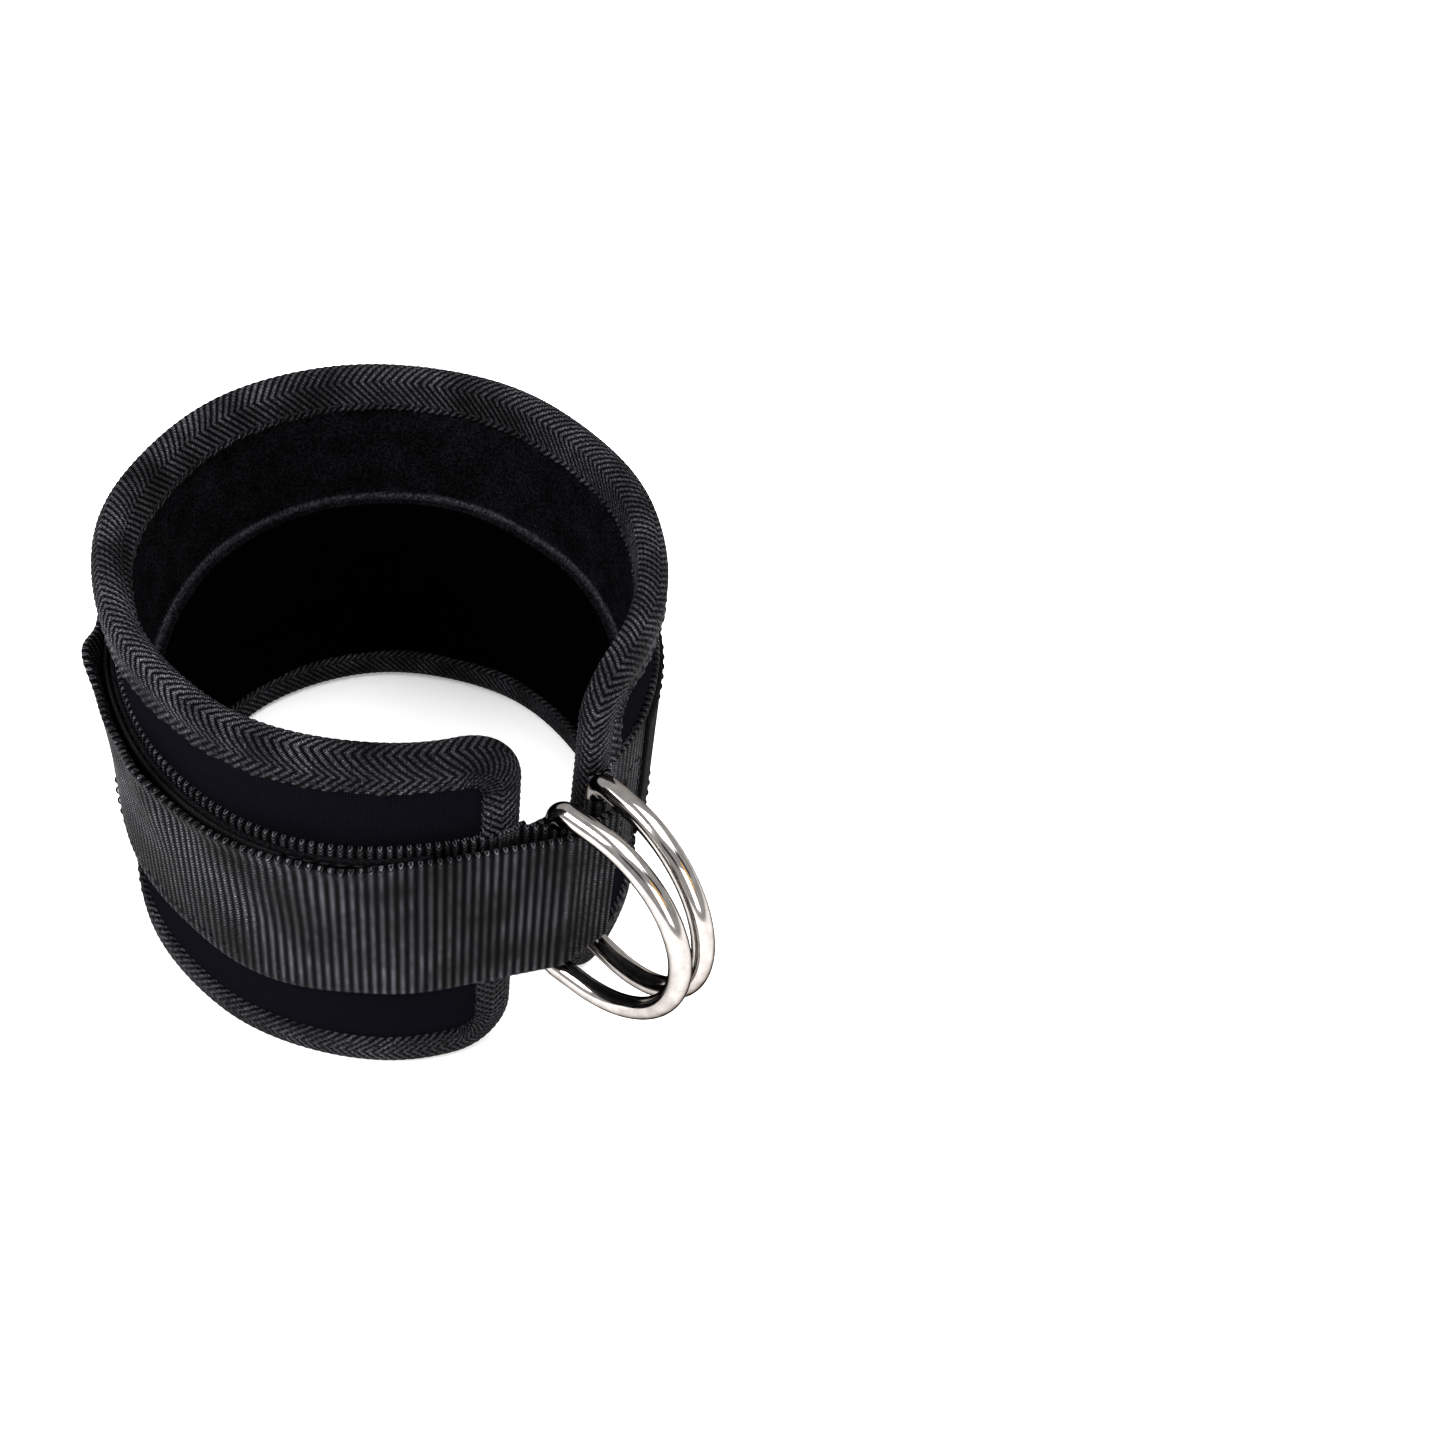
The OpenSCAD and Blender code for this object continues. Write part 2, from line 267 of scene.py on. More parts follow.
def closed_tube(name, points, radius, material, sides):
    """Round wire that joins up with itself, through 3D points in millimetres."""
    n = len(points)
    tangent = np.roll(points, -1, 0) - np.roll(points, 1, 0)
    tangent /= np.linalg.norm(tangent, axis=1)[:, None]
    across = np.cross(tangent, np.cross(points[1] - points[0], points[n // 3] - points[0]))
    across /= np.linalg.norm(across, axis=1)[:, None]
    up = np.cross(tangent, across)
    turn = np.linspace(0, 2 * math.pi, sides, endpoint=False)
    ring = np.cos(turn)[None, :, None] * across[:, None] + np.sin(turn)[None, :, None] * up[:, None]
    rows = points[:, None] + radius * ring
    uvs = np.zeros((n, sides, 2))
    return sweep_mesh(name, rows, uvs, material, closed_path=True)


def stitches(name, points, normals, material, length=2.3, gap=0.9, radius=0.24):
    """A row of thread dashes that dip into the cloth at both ends."""
    points = np.asarray(points, float)
    run = np.concatenate([[0], np.cumsum(np.linalg.norm(np.diff(points, axis=0), axis=1))])
    sides = 6
    rings = 7
    verts = []
    faces = []
    for start in np.arange(0.5, run[-1] - length, length + gap):
        at = start + length * np.linspace(0, 1, rings)
        spot = np.stack([np.interp(at, run, points[:, i]) for i in range(3)], -1)
        out = np.stack([np.interp(at, run, normals[:, i]) for i in range(3)], -1)
        out /= np.linalg.norm(out, axis=1)[:, None]
        along = np.gradient(spot, axis=0)
        along /= np.linalg.norm(along, axis=1)[:, None]
        aside = np.cross(along, out)
        # A dash starts under the cloth, arches out of it and thins at both ends
        arch = np.sin(np.linspace(0, math.pi, rings)) ** 0.5
        spot = spot + out * (arch * 0.34 - 0.22)[:, None]
        thin = radius * (0.45 + 0.55 * arch)
        base = len(verts)
        for i in range(rings):
            for j in range(sides):
                t = 2 * math.pi * j / sides
                verts.append(spot[i] + thin[i] * (math.cos(t) * out[i] + math.sin(t) * aside[i]))
        for i in range(rings - 1):
            for j in range(sides):
                k = (j + 1) % sides
                a = base + i * sides
                faces.append((a + j, a + k, a + sides + k, a + sides + j))
        faces.append(tuple(base + j for j in range(sides))[::-1])
        faces.append(tuple(base + (rings - 1) * sides + j for j in range(sides)))
    return new_object(name, verts, faces, np.zeros((len(verts), 2)), material)


# ---- materials ----


class Tree:
    """Short way to write a material's nodes."""

    def __init__(self, name):
        self.material = bpy.data.materials.new(name)
        self.material.use_nodes = True
        self.nodes = self.material.node_tree.nodes
        self.links = self.material.node_tree.links
        self.shader = self.nodes["Principled BSDF"]

    def set(self, node, socket, value):
        """Link value to a node's input, or set the input to it."""
        if isinstance(value, bpy.types.NodeSocket):
            self.links.new(value, node.inputs[socket])
        else:
            node.inputs[socket].default_value = value

    def math(self, op, a, b=0.0):
        """Output of a Math node."""
        node = self.nodes.new("ShaderNodeMath")
        node.operation = op
        self.set(node, 0, a)
        self.set(node, 1, b)
        return node.outputs[0]

    def uv(self):
        """Lengths along the cloth and across it, in millimetres."""
        node = self.nodes.new("ShaderNodeUVMap")
        node.uv_map = "UVMap"
        split = self.nodes.new("ShaderNodeSeparateXYZ")
        self.links.new(node.outputs[0], split.inputs[0])
        return split.outputs[0], split.outputs[1]

    def noise(self, scale, detail=3.0):
        """Output of a Noise node in the object's coordinates."""
        place = self.nodes.new("ShaderNodeTexCoord")
        node = self.nodes.new("ShaderNodeTexNoise")
        self.set(node, "Scale", scale)
        self.set(node, "Detail", detail)
        self.links.new(place.outputs["Object"], node.inputs["Vector"])
        return node.outputs[0]

    def painted_highlight_patches(self):
        """Slow random change in the strength of the painted highlights over the cloth."""
        return self.math("MULTIPLY", self.math("POWER", self.noise(70, 2), 2.0), 20.0)

    def wave(self, x, pitch):
        """Bumps from 0 to 1, one per pitch."""
        return self.math("ABSOLUTE", self.math("SINE", self.math("MULTIPLY", x, math.pi / pitch)))

    def zigzag(self, x, pitch):
        """Up and down between 0 and half the pitch, once per pitch."""
        return self.math("PINGPONG", x, pitch / 2)

    def colour(self, low, high, factor):
        """Base colour from low to high."""
        node = self.nodes.new("ShaderNodeMix")
        node.data_type = "RGBA"
        node.clamp_factor = False
        self.set(node, "Factor", factor)
        # Inputs 6 and 7 and output 2 are the Mix node's colour sockets
        node.inputs[6].default_value = (*low, 1)
        node.inputs[7].default_value = (*high, 1)
        self.links.new(node.outputs[2], self.shader.inputs["Base Color"])

    def bump(self, height, strength, distance):
        """Surface relief from height."""
        node = self.nodes.new("ShaderNodeBump")
        self.set(node, "Strength", strength)
        self.set(node, "Distance", distance)
        self.set(node, "Height", height)
        self.links.new(node.outputs[0], self.shader.inputs["Normal"])


def cloth(name, rough, sheen, sheen_rough=0.4, specular=0.2):
    """Tree of a fabric, before its colour and relief."""
    tree = Tree(name)
    tree.set(tree.shader, "Roughness", rough)
    tree.set(tree.shader, "Sheen Weight", sheen)
    tree.set(tree.shader, "Sheen Roughness", sheen_rough)
    tree.set(tree.shader, "Sheen Tint", (0.85, 0.86, 0.92, 1))
    tree.set(tree.shader, "Specular IOR Level", specular)
    return tree


# Pitch of the binding's ribs along it, and width of one slant across it
HERRING = 1.9
CHEVRON = 5.4


def webbing_material():
    """Cross ribs of twisted thread, with painted highlights on the rib crests and threads."""
    tree = cloth("ribbed_webbing", 0.55, 0.0, specular=0.015)
    u, v = tree.uv()
    rib = tree.wave(u, RIB)
    slant = tree.math("ADD", tree.math("MULTIPLY", v, 0.8), tree.zigzag(u, RIB))
    thread = tree.wave(slant, 0.62)
    fuzz = tree.noise(2600, 2)
    # Painted highlight: the colour brightens to the high colour on the rib crests and threads, where the
    # glossy thread catches the light.
    crest = tree.math("POWER", rib, 4.0)
    high = tree.math("MULTIPLY", crest, tree.math("POWER", thread, 2.0))
    level = tree.math("MULTIPLY", high, tree.math("MULTIPLY", tree.math("POWER", fuzz, 3.0), tree.painted_highlight_patches()))
    tree.colour((0.0004, 0.0004, 0.0005), (0.075, 0.077, 0.086), level)
    tree.bump(tree.math("ADD", thread, tree.math("MULTIPLY", fuzz, 0.6)), 1.0, 0.00028)
    return tree.material


def binding_material():
    """Ribs that slant up and down across the tape, with painted highlights on their crests."""
    tree = cloth("herringbone_tape", 0.55, 0.0, specular=0.015)
    u, v = tree.uv()
    lean = tree.zigzag(v, 2 * CHEVRON)
    ridge = tree.wave(tree.math("ADD", u, lean), HERRING)
    thread = tree.wave(tree.math("SUBTRACT", u, lean), 0.55)
    fuzz = tree.noise(2600, 2)
    # Painted highlight: the colour brightens to the high colour on the rib crests and threads, where the
    # glossy tape catches the light.
    crest = tree.math("POWER", ridge, 3.0)
    high = tree.math("MULTIPLY", crest, tree.math("ADD", tree.math("MULTIPLY", thread, 0.8), 0.2))
    level = tree.math("MULTIPLY", high, tree.math("MULTIPLY", tree.math("POWER", fuzz, 3.0), tree.painted_highlight_patches()))
    tree.colour((0.0004, 0.0004, 0.0005), (0.064, 0.064, 0.073), level)
    tree.bump(tree.math("ADD", thread, tree.math("MULTIPLY", fuzz, 0.5)), 1.0, 0.00026)
    return tree.material


def knit_material():
    """Fine knit loops."""
    tree = cloth("smooth_knit", 0.9, 0.001, 0.5, 0.0)
    u, v = tree.uv()
    stitch = tree.math("MULTIPLY", tree.wave(u, 0.55), tree.wave(v, 0.7))
    fuzz = tree.noise(5000, 3)
    level = tree.math("MULTIPLY", tree.math("ADD", stitch, fuzz), 0.5)
    tree.colour((0.0003, 0.0003, 0.0007), (0.0042, 0.0040, 0.0058), level)
    tree.bump(tree.math("ADD", stitch, fuzz), 0.5, 0.00012)
    return tree.material


def velvet_material():
    """Brushed pile, with a painted highlight along the pad's upper edge and painted shade that darkens
    everything below that edge.
    """
    tree = cloth("brushed_lining", 0.95, 0.001, 0.3, 0.0)
    pile = tree.noise(1700, 5)
    patch = tree.noise(160, 3)
    _, v = tree.uv()
    # Painted highlight: a bright line along the pad's upper edge, where the raised pile catches the light
    # from above.
    off_edge = tree.math("ABSOLUTE", tree.math("SUBTRACT", v, (CUFF_H + PAD_H) / 2 + 0.5))
    painted_edge_highlight = tree.math("MAXIMUM", tree.math("SUBTRACT", 1.0, tree.math("MULTIPLY", off_edge, 1.5)), 0.0)
    tufts = tree.math("MULTIPLY", tree.math("POWER", pile, 3.0), 5.0)
    level = tree.math("MULTIPLY", tufts, tree.math("ADD", patch, tree.math("MULTIPLY", painted_edge_highlight, 3.2)))
    # Painted shade: below the pad's upper edge the colour falls to 8 percent of its level.
    unshaded_above_pad = tree.math("GREATER_THAN", v, (CUFF_H + PAD_H) / 2 - 0.6)
    level = tree.math("MULTIPLY", level, tree.math("ADD", tree.math("MULTIPLY", unshaded_above_pad, 0.92), 0.08))
    tree.colour((0.0001, 0.0001, 0.0001), (0.0062, 0.0058, 0.0072), level)
    tree.bump(pile, 0.8, 0.0006)
    return tree.material


def plain_material(name, colour, rough, scale, distance):
    """Grainy cloth or thread."""
    tree = cloth(name, rough, 0.0, specular=0.02)
    grain = tree.noise(scale, 4)
    dark = tuple(c * 0.1 for c in colour)
    tree.colour(dark, colour, tree.math("MULTIPLY", tree.math("POWER", grain, 3.0), 4.0))
    tree.bump(grain, 0.8, distance)
    return tree.material


def metal_material():
    """Polished plating with faint smears, and a near-black edge tint that paints dark reflections along
    the wire's grazing edges.
    """
    tree = Tree("polished_nickel")
    tree.set(tree.shader, "Metallic", 1.0)
    tree.set(tree.shader, "Roughness", 0.10)
    # Painted reflection: the near-black Specular Tint darkens the wire at grazing angles, as if it
    # reflected dark surroundings.
    tree.set(tree.shader, "Specular Tint", (0.04, 0.035, 0.03, 1))
    smear = tree.noise(420, 3)
    tree.colour((0.20, 0.185, 0.175), (0.46, 0.435, 0.415), smear)
    tree.bump(tree.noise(900, 2), 0.05, 0.00004)
    return tree.material


WEBBING = webbing_material()
BINDING = binding_material()
KNIT = knit_material()
VELVET = velvet_material()
LOOPS = plain_material("loop_fuzz", (0.005, 0.005, 0.006), 0.95, 1800, 0.0008)
HOOKS = plain_material("hooked_tape", (0.008, 0.008, 0.009), 0.6, 3500, 0.0004)
THREAD = plain_material("sewing_thread", (0.013, 0.013, 0.015), 0.6, 7000, 0.0001)
FOAM = plain_material("closed_cell_foam", (0.012, 0.012, 0.013), 0.9, 1500, 0.0004)
NICKEL = metal_material()


# ---- the panel ----


def across_back(obj):
    """Bakes the placement of obj, which runs across the back from the near half to the far half, into its
    mesh.
    """
    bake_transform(obj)


def both(*stems):
    """Names of the near and far nodes of each stem."""
    return [f"{half}_{stem}" for stem in stems for half in ("near", "far")]


def shell(name, outer, inner, inset, step, material):
    """Closed sheet round the panel between two offset functions of (s, z)."""
    s = np.linspace(PANEL_S0 + inset, PANEL_S1 - inset, int((PANEL_S1 - PANEL_S0) / step))
    z = np.linspace(inset, CUFF_H - inset, int(CUFF_H / step))
    grid_s = np.concatenate([np.broadcast_to(s[:, None], (len(s), len(z)))] * 2, 1)
    z_loop = np.concatenate([z, z[::-1]])
    grid_z = np.broadcast_to(z_loop, grid_s.shape)
    faces = [np.broadcast_to(f(s[:, None], z[None]), (len(s), len(z))) for f in (outer, inner)]
    depth = np.concatenate([faces[0], faces[1][:, ::-1]], 1)
    rows = on_panel(grid_s, grid_z, depth)
    return sweep_mesh(name, rows, np.stack([grid_s, grid_z], -1), material)


def constant(value):
    """Offset function with one value."""
    return lambda s, z: np.full(np.broadcast_shapes(s.shape, z.shape), value)


def from_ends(s):
    """Distance to the panel's nearer end."""
    return np.minimum(s - PANEL_S0, PANEL_S1 - s)


def lining_face(s, z):
    """Inner face: pinched beside the binding, raised over the pad, softly wrinkled."""
    low = (CUFF_H - PAD_H) / 2
    rise_z = smooth((z - low + 0.8) / 1.8) * smooth((CUFF_H - low + 0.8 - z) / 1.8)
    rise_s = smooth((from_ends(s) - 17.0) / 2.5)
    lip = np.minimum(np.abs(z - low), np.abs(CUFF_H - low - z))
    crown = 0.5 * np.sin(math.pi * np.clip((z - low) / PAD_H, 0, 1))
    crown = crown + 0.5 * np.exp(-((lip / 1.6) ** 2))
    edge = np.minimum(z, CUFF_H - z)
    belly = 0.7 * smooth((edge - 6.0) / 9.0)
    wrinkle = 0.22 * np.sin(s / 4.3 + 1.3 * np.sin(z / 9.0)) * smooth((22.0 - edge) / 10.0)
    return -PANEL_T - belly - wrinkle - (PAD_T + crown) * rise_z * rise_s


def cover_face(s, z):
    """Outer face: slightly puffed between the binding and the strap."""
    edge = np.minimum(z, CUFF_H - z)
    return -0.35 + 0.55 * smooth((edge - 5.0) / 9.0)


cover = shell("panel_cover", cover_face, constant(-0.9), 5.0, 1.6, KNIT)
lining = shell("panel_lining", constant(-PANEL_T + 0.8), lining_face, 5.0, 1.2, VELVET)
foam = shell("panel_foam", constant(-1.0), constant(-PANEL_T + 0.9), 5.5, 3.0, FOAM)
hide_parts(*both("cover"))
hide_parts(*both("lining", "pad"))
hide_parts(*both("foam"))


def perimeter(step):
    """Panel's outline in (s, z), its inward directions and running length."""
    r = CORNER_R
    left = PANEL_S0 + r
    right = PANEL_S1 - r
    top = CUFF_H - r
    points = []
    inward = []

    def straight(p, q, n):
        count = max(int(math.dist(p, q) / step), 2)
        for t in np.linspace(0, 1, count, endpoint=False):
            points.append((p[0] + (q[0] - p[0]) * t, p[1] + (q[1] - p[1]) * t))
            inward.append(n)

    def corner(c, start):
        count = max(int(math.pi / 2 * r / step), 4)
        for t in np.radians(start + 90 * np.linspace(0, 1, count, endpoint=False)):
            points.append((c[0] + r * math.cos(t), c[1] + r * math.sin(t)))
            inward.append((-math.cos(t), -math.sin(t)))

    straight((left, 0), (right, 0), (0, 1))
    corner((right, r), -90)
    straight((PANEL_S1, r), (PANEL_S1, top), (-1, 0))
    corner((right, top), 0)
    straight((right, CUFF_H), (left, CUFF_H), (0, -1))
    corner((left, top), 90)
    straight((PANEL_S0, top), (PANEL_S0, r), (1, 0))
    corner((left, r), 180)
    points = np.array(points)
    gaps = np.linalg.norm(np.roll(points, -1, 0) - points, axis=1)
    return points, np.array(inward), np.concatenate([[0], np.cumsum(gaps)[:-1]]), gaps.sum()


def binding_section():
    """The folded tape's cross-section: distance in from the edge, offset, and tape width so far."""
    leg_points = 14
    rim_points = 24
    all_points = 2 * leg_points + rim_points + 6
    rim = PANEL_T / 2 + BINDING_T
    leg = np.linspace(BINDING_W, rim, leg_points)
    turn = np.radians(np.linspace(90, -90, rim_points))
    e = np.concatenate([[BINDING_W + 0.1], leg, rim - rim * np.cos(turn)[1:-1], leg[::-1]])
    e = np.concatenate([e, [BINDING_W + 0.1]])
    outer = np.full(leg_points, BINDING_T)
    inner = np.full(leg_points, -PANEL_T - BINDING_T)
    fold = -PANEL_T / 2 + rim * np.sin(turn)[1:-1]
    d = np.concatenate([[-0.5], outer, fold, inner, [-PANEL_T + 0.5]])
    run = np.concatenate([[0], np.cumsum(np.hypot(np.diff(e), np.diff(d)))])
    width = np.linspace(0, run[-1], all_points)
    return np.interp(width, run, e), np.interp(width, run, d), width


def binding():
    """Herringbone tape folded round the whole edge of the panel."""
    points, inward, run, total = perimeter(0.42)
    e, d, width = binding_section()
    repeats = round(total / HERRING)
    u = run * (repeats * HERRING / total)
    lean = np.abs(np.mod(width, 2 * CHEVRON) - CHEVRON)
    ridge = np.abs(np.sin(math.pi * (u[:, None] + lean[None]) / HERRING)) ** 0.8
    edge = np.minimum(width, width[-1] - width)
    height = 0.30 * (ridge - 0.6) * smooth(edge / 1.2)[None]
    # Thread pulls the tape's edges in at each stitch
    tug = np.sin(2 * math.pi * u / 4.6) + 0.7 * np.sin(u / 2.3 + 2.0 * np.sin(u / 19.0))
    pull = 0.16 * tug[:, None] * np.exp(-(((edge - 1.6) / 1.3) ** 2))[None]
    across_e = np.gradient(e, width)
    across_d = np.gradient(d, width)
    size = np.hypot(across_e, across_d)
    out_e = across_d / size
    out_d = -across_e / size
    lift = height + pull
    e_full = e[None] + lift * out_e[None]
    d_full = d[None] + lift * out_d[None]
    s = points[:, :1] + inward[:, :1] * e_full
    z = points[:, 1:] + inward[:, 1:] * e_full
    rows = on_panel(s, z, d_full)
    n, m = s.shape
    faces = []
    for i in range(n):
        a = i * m
        b = (i + 1) % n * m
        for j in range(m - 1):
            faces.append((a + j, a + j + 1, b + j + 1, b + j))
    # An inner layer closes the tape into a solid
    thin = on_panel(
        points[:, :1] + inward[:, :1] * (e[None] - 0.5 * out_e[None]),
        points[:, 1:] + inward[:, 1:] * (e[None] - 0.5 * out_e[None]),
        np.broadcast_to(d - 0.5 * out_d, (n, m)),
    )
    offset = n * m
    for i in range(n):
        a = offset + i * m
        b = offset + (i + 1) % n * m
        for j in range(m - 1):
            faces.append((a + j, b + j, b + j + 1, a + j + 1))
        c = i * m
        f = (i + 1) % n * m
        faces.append((c, f, b, a))
        faces.append((c + m - 1, a + m - 1, b + m - 1, f + m - 1))
    verts = np.concatenate([rows.reshape(-1, 3), thin.reshape(-1, 3)])
    uv = np.stack([np.broadcast_to(u[:, None], (n, m)), np.broadcast_to(width, (n, m))], -1)
    uvs = np.concatenate([uv.reshape(-1, 2)] * 2)
    obj = new_object("edge_binding", verts, faces, uvs, BINDING)
    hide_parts(*both("binding"))
    return obj


def binding_thread():
    """Thread dashes along the binding's edge, on both faces."""
    points, inward, _, _ = perimeter(1.0)
    points = np.concatenate([points, points[:1]])
    inward = np.concatenate([inward, inward[:1]])
    found = []
    for name, d, sign in (("outer", BINDING_T, 1), ("inner", -PANEL_T - BINDING_T, -1)):
        e = BINDING_W - 1.6
        s = points[:, 0] + inward[:, 0] * e
        z = points[:, 1] + inward[:, 1] * e
        line = on_panel(s, z, np.full(len(s), d))
        normal = np.concatenate([unit(angle_at(s)) * sign, np.zeros((len(s), 1))], 1)
        found.append(stitches(f"binding_thread_{name}", line, normal, THREAD))
    return found


tape = binding()
threads = binding_thread()
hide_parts(*both("binding_stitch"))


# ---- the strap ----


def oval_strip(name, d, thick, width, a0, a1, material, step=0.3, **more):
    """Strip on the oval from direction a0 down to a1, with its inner face at offset d."""
    s = np.linspace(length_at(a1), length_at(a0), int((length_at(a0) - length_at(a1)) / step))
    a = angle_at(s)
    path = oval(a, d + wander(s, np.full(len(s), STRAP_Z)))
    return ribbon(name, path, unit(a), s, thick, width, material, **more)


CENTRE_0 = CENTRE_OUT * unit(np.array(OVAL_TURN))
NEAR_BAR = CENTRE_0 + (END_R + LOOP_R) * unit(np.array(NEAR_RING_DIR))
FAR_BAR = CENTRE_0 + (END_R + LOOP_R) * unit(np.array(FAR_RING_DIR))


def shared_tangent(c0, r0, c1, r1):
    """Outward direction of the line that lies on two circles and passes them on their right."""
    gap = c1 - c0
    return angle_of(gap) - math.degrees(math.acos((r0 - r1) / np.linalg.norm(gap)))


NEAR_PASS = LOOP_R + 0.12
FAR_PASS = LOOP_R + GAP
CREASE_R = END_R + TAIL_D
CREASE = shared_tangent(CENTRE_0, CREASE_R, NEAR_BAR, NEAR_PASS)
FRONT = shared_tangent(NEAR_BAR, NEAR_PASS, FAR_BAR, FAR_PASS)
STRAP_FREE = length_at(CREASE) - length_at(TAIL_TIP)
# A ring loop's sewn length, and the slope of its outer layer from the bar
SEWN_LENGTH = 13.0
LOOP_SLOPE = 38.0


def arc_points(centre, r, a0, a1, count):
    """Points on a circle from direction a0 to a1."""
    return [centre + r * unit(np.array(a)) for a in np.linspace(a0, a1, count)]


def strap_wave(s, z):
    """The folded-back strap stands off and ripples along its upper edge."""
    top = smooth((z - STRAP_Z + 4.0) / (STRAP_W / 2))
    low = smooth((STRAP_Z - z) / (STRAP_W / 2))
    free = smooth((STRAP_FREE - s) / 16.0)
    ripple = np.sin(s / 5.2 + 0.7) + 0.6 * np.sin(s / 2.9 + 2.0)
    free = free * (0.3 + 0.7 * smooth(s / 30.0))
    curl = np.exp(-(((STRAP_Z + STRAP_W / 2 - z) / 2.6) ** 2))
    depth = free * (top * (0.9 + 0.6 * ripple) + 0.9 * curl + low * 0.25 * np.sin(s / 7.0))
    rise = free * (1.0 * top * ripple + 0.2 * low * np.sin(s / 6.3 + 1.0))
    return depth, rise


def outer_strap():
    """One webbing from the tail's tip to the turn in front of the far ring's bar."""
    a = np.linspace(TAIL_TIP, CREASE, 240)
    line = list(oval(a, TAIL_D + cinch(a, STRAP_Z)))
    line += arc_points(NEAR_BAR, NEAR_PASS, CREASE, FRONT, 12)
    line += arc_points(FAR_BAR, FAR_PASS, FRONT, FRONT + 6, 5)
    path, left, s = resample(line, 0.3)
    obj = ribbon("outer_strap", path, -left, s, WEBBING_T, STRAP_W, WEBBING, 0.34, strap_wave)
    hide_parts("near_strap_turn", "strap_tail")
    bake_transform(obj)
    return obj


outer_strap()
base = oval_strip(
    "base_strap", 0.0, WEBBING_T, STRAP_W, NEAR_END, FAR_END - 360, WEBBING, rib=0.25
)
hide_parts(*both("base_strap"))


def run_to_circle(p, v, c, r):
    """Distance along direction v from p to the circle round c, entered from outside."""
    w = p - c
    b = w @ v
    return -b - math.sqrt(b * b - w @ w + r * r)


def loop_line(side):
    """Inner line of a ring loop: past the panel's end, round the bar and back onto the strap."""
    bar = NEAR_BAR if side < 0 else FAR_BAR
    bar_dir = NEAR_RING_DIR if side < 0 else FAR_RING_DIR
    end = NEAR_END if side < 0 else FAR_END
    slope = bar_dir + side * LOOP_SLOPE
    centre, r = arc_parts(np.array(float(end)))
    start = bar + BAR_HOLE_R * unit(np.array(slope))
    v = unit(np.array(slope + 90.0 * side))
    hit = start + run_to_circle(start, v, centre, r + WEBBING_T + 0.05) * v
    sewn = angle_of(hit - centre)
    reach = side * math.degrees(SEWN_LENGTH / float(r))
    line = list(oval(np.linspace(end, bar_dir, 8), WEBBING_T))
    line += arc_points(bar, BAR_HOLE_R, bar_dir - side * 180, slope, 40)
    line += list(oval(np.linspace(sewn, sewn + reach, 24), WEBBING_T + 0.05))
    return line, sewn, sewn + reach


# Half the height of a loop's sewn box, and points along each of its sides
BOX_HALF = 15.0
BOX_POINTS = 12


def ring_loop(side, name, body):
    """Webbing folded round a ring's bar, with its sewn box. Returns the direction of its end."""
    line, sewn, stop = loop_line(side)
    path, left, s = resample(line, 0.25)
    out = left if side < 0 else -left
    obj = ribbon(f"{name}_ring_webbing", path, -out, s, WEBBING_T, STRAP_W, WEBBING, 0.25)
    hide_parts(f"{name}_ring_loop")
    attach(obj, body)
    d = 2 * WEBBING_T + 0.2
    inner, outer = sorted((sewn + side * 3.2, stop - side * 2.2))
    low = STRAP_Z - BOX_HALF
    high = STRAP_Z + BOX_HALF
    across = np.linspace(inner, outer, BOX_POINTS)
    up = np.linspace(low, high, BOX_POINTS)
    box = [(across, np.full(BOX_POINTS, z)) for z in (low, high)]
    box += [(np.full(BOX_POINTS, a), up) for a in (inner, outer)]
    for i, (a, z) in enumerate(box):
        points = np.concatenate([oval(a, d), z[:, None]], 1)
        normal = np.concatenate([unit(a), np.zeros((BOX_POINTS, 1))], 1)
        thread = stitches(f"{name}_box_thread_{i}", points, normal, THREAD)
        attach(thread, body)
        if i == 0:
            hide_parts(f"{name}_loop_stitch")
    return stop


near_stop = ring_loop(-1, "near", "near_half")
far_stop = ring_loop(1, "far", "far_half")
# The loop tape stops 3.3 degrees short of the ring loops, and its thread rows start inside it
loops_near = near_stop - 3.3
loops_far = far_stop + 3.3 - 360
loops = oval_strip(
    "loop_tape", WEBBING_T, LOOP_T, TAPE_W, loops_near, loops_far, LOOPS, step=1.0
)
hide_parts(*both("loop_tape"))


def strap_rows(stem, a0, a1, d, w, replaced, body=None):
    """Two thread rows along a tape's edges."""
    count = int(abs(length_at(a0) - length_at(a1)))
    s = np.linspace(length_at(a1), length_at(a0), count)
    a = angle_at(s)
    normal = np.concatenate([unit(a), np.zeros((count, 1))], 1)
    found = []
    for tag, z in (("low", STRAP_Z - w / 2), ("high", STRAP_Z + w / 2)):
        line = np.concatenate(
            [oval(a, d + wander(s, np.full(count, STRAP_Z))), np.full((count, 1), z)], 1
        )
        found.append(stitches(f"{stem}_{tag}", line, normal, THREAD))
    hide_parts(*replaced)
    if body:
        for obj in found:
            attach(obj, body)
    return found


rows = strap_rows(
    "strap_thread",
    near_stop - 4,
    far_stop + 4 - 360,
    WEBBING_T + LOOP_T,
    TAPE_W - 2.5,
    both("strap_stitch"),
)
for obj in (cover, lining, foam, tape, base, loops, *threads, *rows):
    across_back(obj)

HOOK_NEAR = -60.0
HOOK_FAR = TAIL_TIP + 3
hook = oval_strip("hook_tape_piece", HOOK_D, HOOK_T, TAPE_W, HOOK_NEAR, HOOK_FAR, HOOKS, step=1.0)
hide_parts("hook_tape")
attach(hook, "tail")
tail_face = TAIL_D + WEBBING_T
strap_rows("tail_thread", HOOK_NEAR, HOOK_FAR, tail_face, TAPE_W - 3, ["tail_stitch"], "tail")


# ---- the rings ----


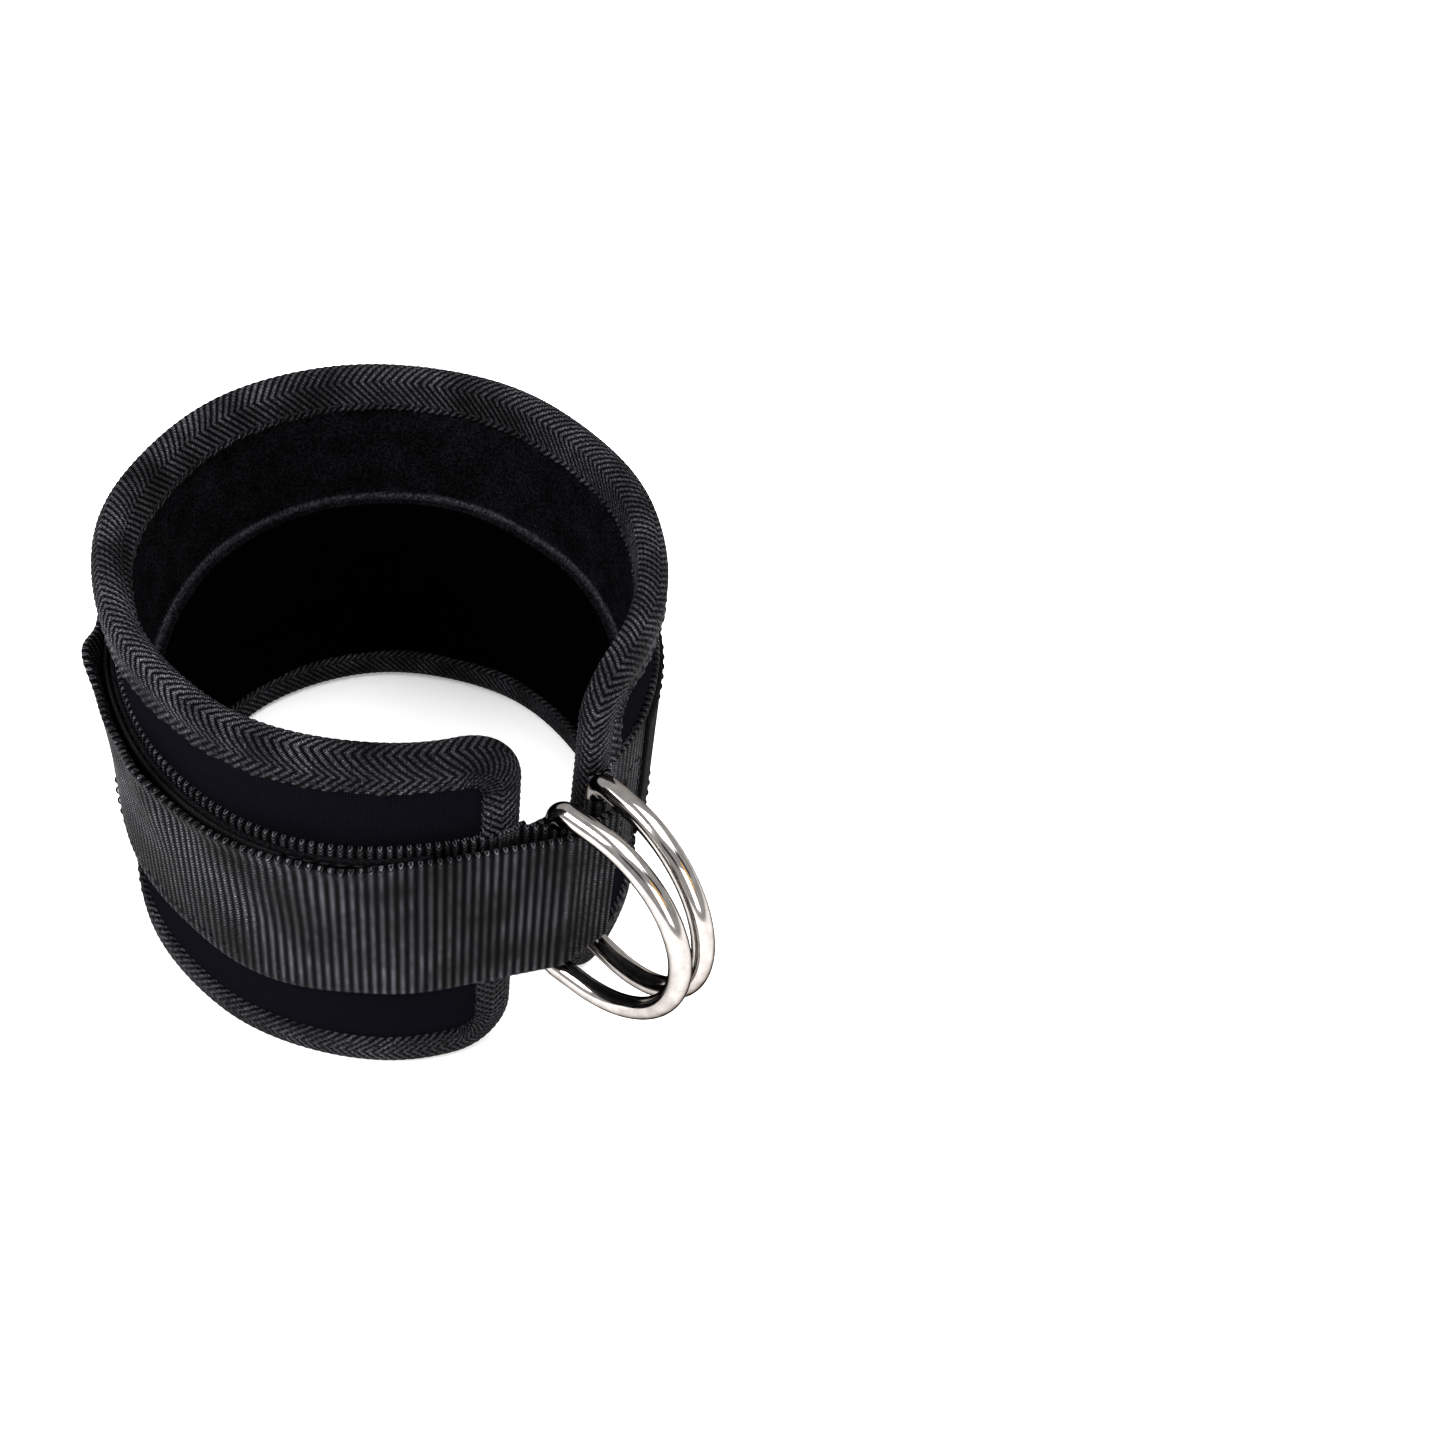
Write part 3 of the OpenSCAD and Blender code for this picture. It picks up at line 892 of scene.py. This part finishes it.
def d_ring(name, bar, turn, body, node):
    """A D-ring: its bar stands at the hinge and its bow points in direction turn."""
    half = RING_W / 2 - WIRE_R
    bow_x = RING_REACH - half
    r = RING_CORNER_R
    quarter = np.linspace(0, math.pi / 2, 14)
    line = [(0, z) for z in np.linspace(-(half - r), half - r, 20)]
    line += [(r - r * math.cos(t), half - r + r * math.sin(t)) for t in quarter]
    line += [(x, half) for x in np.linspace(r, bow_x, 6)[1:-1]]
    line += [(bow_x + half * math.sin(t), half * math.cos(t)) for t in np.linspace(0, math.pi, 90)]
    line += [(x, -half) for x in np.linspace(bow_x, r, 6)[1:-1]]
    line += [(r - r * math.sin(t), -half + r - r * math.cos(t)) for t in quarter]
    line = np.array(line[1:])
    gaps = np.linalg.norm(line - np.roll(line, 1, 0), axis=1)
    line = line[gaps > 1e-6]
    out = unit(np.array(turn))
    points = np.concatenate([bar + line[:, :1] * out, STRAP_Z + line[:, 1:]], 1)
    obj = closed_tube(name, points, WIRE_R, NICKEL, sides=36)
    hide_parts(node)
    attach(obj, body)


d_ring("near_ring_wire", NEAR_BAR, NEAR_RING_TURN, "near_ring", "near_ring")
d_ring("far_ring_wire", FAR_BAR, FAR_RING_TURN, "far_ring", "far_ring")


# ---- stage ----


def plain_surface(name, colour, glow=0.0):
    """Matt material with a faint light of its own."""
    material = bpy.data.materials.new(name)
    material.use_nodes = True
    shader = material.node_tree.nodes["Principled BSDF"]
    shader.inputs["Base Color"].default_value = (*colour, 1)
    shader.inputs["Roughness"].default_value = 0.9
    shader.inputs["Emission Color"].default_value = (*colour, 1)
    shader.inputs["Emission Strength"].default_value = glow
    return material


def plane(name, size, place, aim, material):
    """Flat staging panel that faces the point aim, or faces up."""
    half_x = size[0] / 2
    half_y = size[1] / 2
    mesh = bpy.data.meshes.new(name)
    corners = [(-half_x, -half_y, 0), (half_x, -half_y, 0), (half_x, half_y, 0), (-half_x, half_y, 0)]
    mesh.from_pydata(corners, [], [(0, 1, 2, 3)])
    mesh.materials.append(material)
    obj = bpy.data.objects.new(name, mesh)
    bpy.context.scene.collection.objects.link(obj)
    obj.location = place
    if aim is not None:
        obj.rotation_euler = (Vector(aim) - Vector(place)).to_track_quat("Z", "Y").to_euler()
    return obj


def area_light(name, place, aim, size, power):
    """White lamp that shines at the point aim."""
    light = bpy.data.lights.new(name, "AREA")
    light.shape = "RECTANGLE"
    light.size, light.size_y = size
    light.energy = power
    obj = bpy.data.objects.new(name, light)
    bpy.context.scene.collection.objects.link(obj)
    obj.location = place
    obj.rotation_euler = (Vector(aim) - Vector(place)).to_track_quat("-Z", "Y").to_euler()
    return obj


plane("floor", (6, 6), (0, 0, 0), None, plain_surface("pale_floor", (0.93, 0.93, 0.93), glow=0.3))
card_aim = (0.09, 0.0, 0.05)
dark_card = plain_surface("dark_card", (0.01, 0.01, 0.01))
amber_card = plain_surface("amber_card", (0.75, 0.42, 0.08), glow=0.6)
plane("card_dark_right", (0.20, 0.40), (0.55, 0.30, 0.62), card_aim, dark_card)
plane("card_dark_front", (0.40, 0.20), (0.35, -0.55, 0.60), card_aim, dark_card)
plane("card_amber", (0.12, 0.34), (0.66, 0.10, 0.52), card_aim, amber_card)

world = bpy.data.worlds.new("studio")
world.use_nodes = True
world.node_tree.nodes["Background"].inputs[0].default_value = (1, 1, 1, 1)
world.node_tree.nodes["Background"].inputs[1].default_value = 0.8
bpy.context.scene.world = world

CENTRE = (0.0, 0.0, 0.05)
area_light("key", (-0.25, -0.75, 0.75), CENTRE, (0.45, 0.45), 20)
area_light("top", (0.15, 0.25, 0.95), CENTRE, (0.8, 0.8), 16)
area_light("right", (0.85, -0.25, 0.45), CENTRE, (0.4, 0.6), 6)

scene = bpy.context.scene
scene.view_settings.view_transform = "Standard"
scene.view_settings.look = "None"
scene.view_settings.exposure = 0.0

# The camera stands high in front of the gap's near side
CAMERA_PLACE = Vector((0.224934, -0.172952, 0.323245))
CAMERA_RIGHT = Vector((0.713824, 0.690184, 0.118750))
CAMERA_UP = Vector((-0.547495, 0.444233, 0.709159))
camera_data = bpy.data.cameras.new("camera")
camera_data.lens = 43.2325
camera_data.sensor_width = 36.0
camera_data.clip_start = 0.01
camera = bpy.data.objects.new("camera", camera_data)
scene.collection.objects.link(camera)
back_axis = CAMERA_RIGHT.cross(CAMERA_UP).normalized()
turn = Matrix((CAMERA_RIGHT, CAMERA_UP, back_axis)).transposed().to_4x4()
camera.matrix_world = Matrix.Translation(CAMERA_PLACE) @ turn
scene.camera = camera
